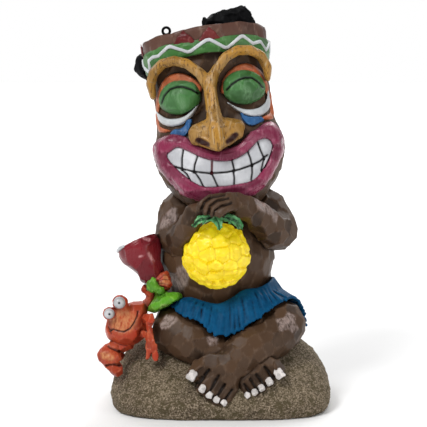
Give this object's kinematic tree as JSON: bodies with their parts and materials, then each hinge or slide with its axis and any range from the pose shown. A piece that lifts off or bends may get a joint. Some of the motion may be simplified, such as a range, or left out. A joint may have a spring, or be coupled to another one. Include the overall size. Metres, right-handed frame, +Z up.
{
  "type": "solar tiki garden figure",
  "caption": "Solar-lit tiki garden figure: cross-legged carved-look man on a sand mound with a glowing pineapple lamp, and a crab lifting a cocktail glass.",
  "frame": {"origin": "middle of the base plate's underside, on the ground", "axes": "+Z up, the figure faces -Y, its crab is on the -X side"},
  "size_m": [0.2335, 0.172, 0.3969],
  "materials": {
    "skin_resin": "satin",
    "brow_resin": "satin",
    "lip_resin": "satin",
    "teeth_resin": "satin",
    "eyelid_resin": "satin",
    "band_resin": "satin",
    "hair_resin": "satin",
    "skirt_resin": "satin",
    "sand_resin": "matt",
    "plate_plastic": "matt",
    "pineapple_plastic": "translucent",
    "leaf_resin": "satin",
    "white_plastic": "gloss",
    "led_plastic": "clear",
    "wire_plastic": "satin",
    "crab_resin": "satin",
    "eye_resin": "gloss",
    "cup_resin": "satin",
    "stem_resin": "satin",
    "housing_plastic": "satin",
    "panel_glass": "gloss",
    "board_laminate": "satin",
    "cell_steel": "gloss",
    "contact_steel": "bright",
    "screw_steel": "bright",
    "switch_plastic": "satin"
  },
  "bodies": {
    "figure": {"base_casting": "sand_resin", "base_plate": "plate_plastic", "torso_casting": "skin_resin", "head_casting": "skin_resin", "brow_and_nose": "brow_resin", "lips": "lip_resin", "teeth": "teeth_resin", "left_eyelid": "eyelid_resin", "right_eyelid": "eyelid_resin", "headband": "band_resin", "hair": "hair_resin", "left_arm": "skin_resin", "right_arm": "skin_resin", "left_leg": "skin_resin", "right_leg": "skin_resin", "skirt": "skirt_resin", "pineapple_lens": "pineapple_plastic", "pineapple_leaves": "leaf_resin", "led_holder": "white_plastic", "led": "led_plastic", "led_leads": "wire_plastic", "crab_body": "crab_resin", "crab_eyes": "eye_resin", "crab_lower_claw": "crab_resin", "crab_raised_claw": "crab_resin", "crab_legs": "crab_resin", "glass_bowl": "cup_resin", "glass_stem": "stem_resin", "solar_housing": "housing_plastic", "solar_panel": "panel_glass", "panel_leads": "wire_plastic", "circuit_board": "board_laminate", "battery_cell": "cell_steel", "battery_contacts": "contact_steel", "housing_screws": "screw_steel", "switch_body": "housing_plastic"},
    "power_switch": {"switch_slider": "switch_plastic"},
    "battery_door": {"battery_door": "housing_plastic", "door_screw": "screw_steel"}
  },
  "joints": [
    {"name": "switch_slide", "type": "slide", "parent": "figure", "child": "power_switch", "axis": [1, 0, 0], "range_m": [0, 0.005]},
    {"name": "door_lift_off", "type": "slide", "parent": "figure", "child": "battery_door", "axis": [0, 1, 0], "range_m": [0, 0.03]}
  ]
}
